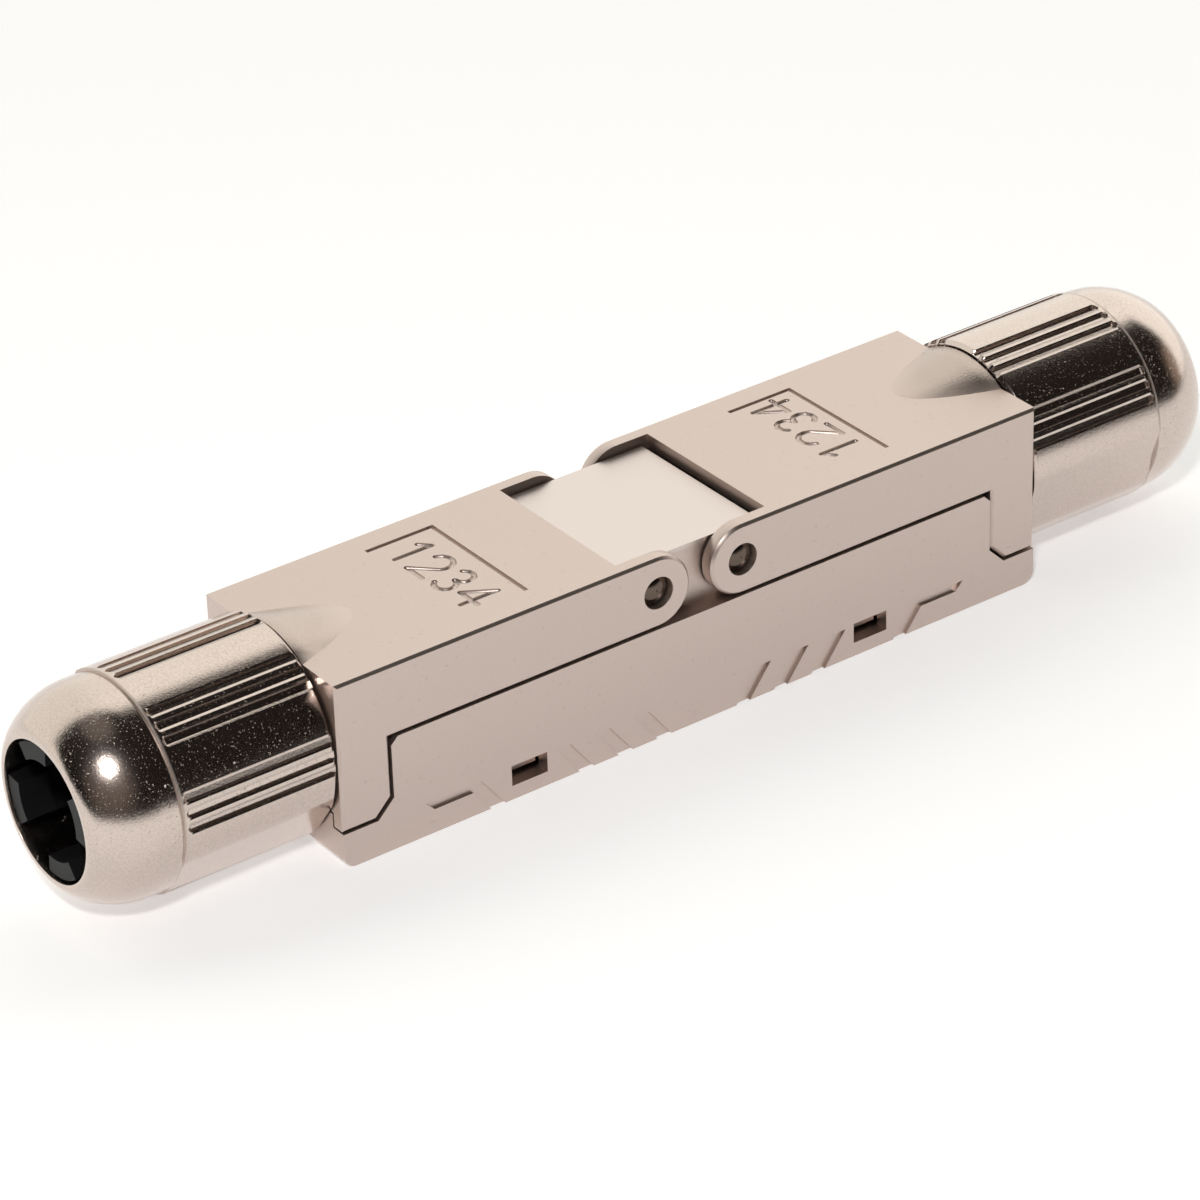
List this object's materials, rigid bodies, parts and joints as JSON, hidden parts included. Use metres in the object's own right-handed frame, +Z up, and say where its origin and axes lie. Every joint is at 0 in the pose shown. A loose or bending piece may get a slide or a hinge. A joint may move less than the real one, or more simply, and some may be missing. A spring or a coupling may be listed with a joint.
{
  "type": "punch-down cable joiner",
  "caption": "Slim shielded cable joiner: die-cast base with punch-down blocks, hinged lids, and a grooved cap nut with cable claws at each end.",
  "frame": {"origin": "centre of the flat bottom of the base", "axes": "+X along the joiner from the left nut to the right nut, +Y to the back, +Z up"},
  "size_m": [0.1226, 0.0202, 0.0202],
  "materials": {
    "satin_casting": "satin nickel-plated zinc casting",
    "nut_plating": "glossy nickel-plated zinc casting",
    "pin_steel": "plain steel",
    "claw_plastic": "matt black moulding",
    "board_laminate": "green solder mask",
    "block_plastic": "off-white moulding",
    "contact_metal": "tin-plated bronze"
  },
  "bodies": {
    "base": {"base_housing": "satin_casting", "left_hinge_pin": "pin_steel", "right_hinge_pin": "pin_steel", "circuit_board": "board_laminate", "left_board_screw": "pin_steel", "right_board_screw": "pin_steel", "left_idc_block": "block_plastic", "right_idc_block": "block_plastic", "left_contact_1": "contact_metal", "left_contact_2": "contact_metal", "left_contact_3": "contact_metal", "left_contact_4": "contact_metal", "left_contact_5": "contact_metal", "left_contact_6": "contact_metal", "left_contact_7": "contact_metal", "left_contact_8": "contact_metal", "right_contact_1": "contact_metal", "right_contact_2": "contact_metal", "right_contact_3": "contact_metal", "right_contact_4": "contact_metal", "right_contact_5": "contact_metal", "right_contact_6": "contact_metal", "right_contact_7": "contact_metal", "right_contact_8": "contact_metal"},
    "left_lid": {"left_lid": "satin_casting"},
    "left_claws": {"left_claw_ring": "claw_plastic"},
    "left_nut": {"left_cap_nut": "nut_plating"},
    "right_lid": {"right_lid": "satin_casting"},
    "right_claws": {"right_claw_ring": "claw_plastic"},
    "right_nut": {"right_cap_nut": "nut_plating"}
  },
  "joints": [
    {"name": "left_lid_hinge", "type": "hinge", "parent": "base", "child": "left_lid", "pos_m": [-0.00463, 0, 0.01475], "axis": [0, 1, 0], "range_deg": [0, 85]},
    {"name": "left_claw_slide", "type": "slide", "parent": "left_lid", "child": "left_claws", "axis": [-1, 0, 0], "range_m": [0, 0.0045]},
    {"name": "left_nut_turn", "type": "hinge", "parent": "left_claws", "child": "left_nut", "pos_m": [-0.05, 0, 0.01015], "axis": [-1, 0, 0], "range_deg": [0, 1080]},
    {"name": "right_lid_hinge", "type": "hinge", "parent": "base", "child": "right_lid", "pos_m": [0.00463, 0, 0.01475], "axis": [0, -1, 0], "range_deg": [0, 85]},
    {"name": "right_claw_slide", "type": "slide", "parent": "right_lid", "child": "right_claws", "axis": [1, 0, 0], "range_m": [0, 0.0045]},
    {"name": "right_nut_turn", "type": "hinge", "parent": "right_claws", "child": "right_nut", "pos_m": [0.05, 0, 0.01015], "axis": [1, 0, 0], "range_deg": [0, 1080]}
  ],
  "couplings": [
    {"joint": "left_claw_slide", "follows": "left_nut_turn", "m_per_rad": 0.0002387},
    {"joint": "right_claw_slide", "follows": "right_nut_turn", "m_per_rad": 0.0002387}
  ]
}
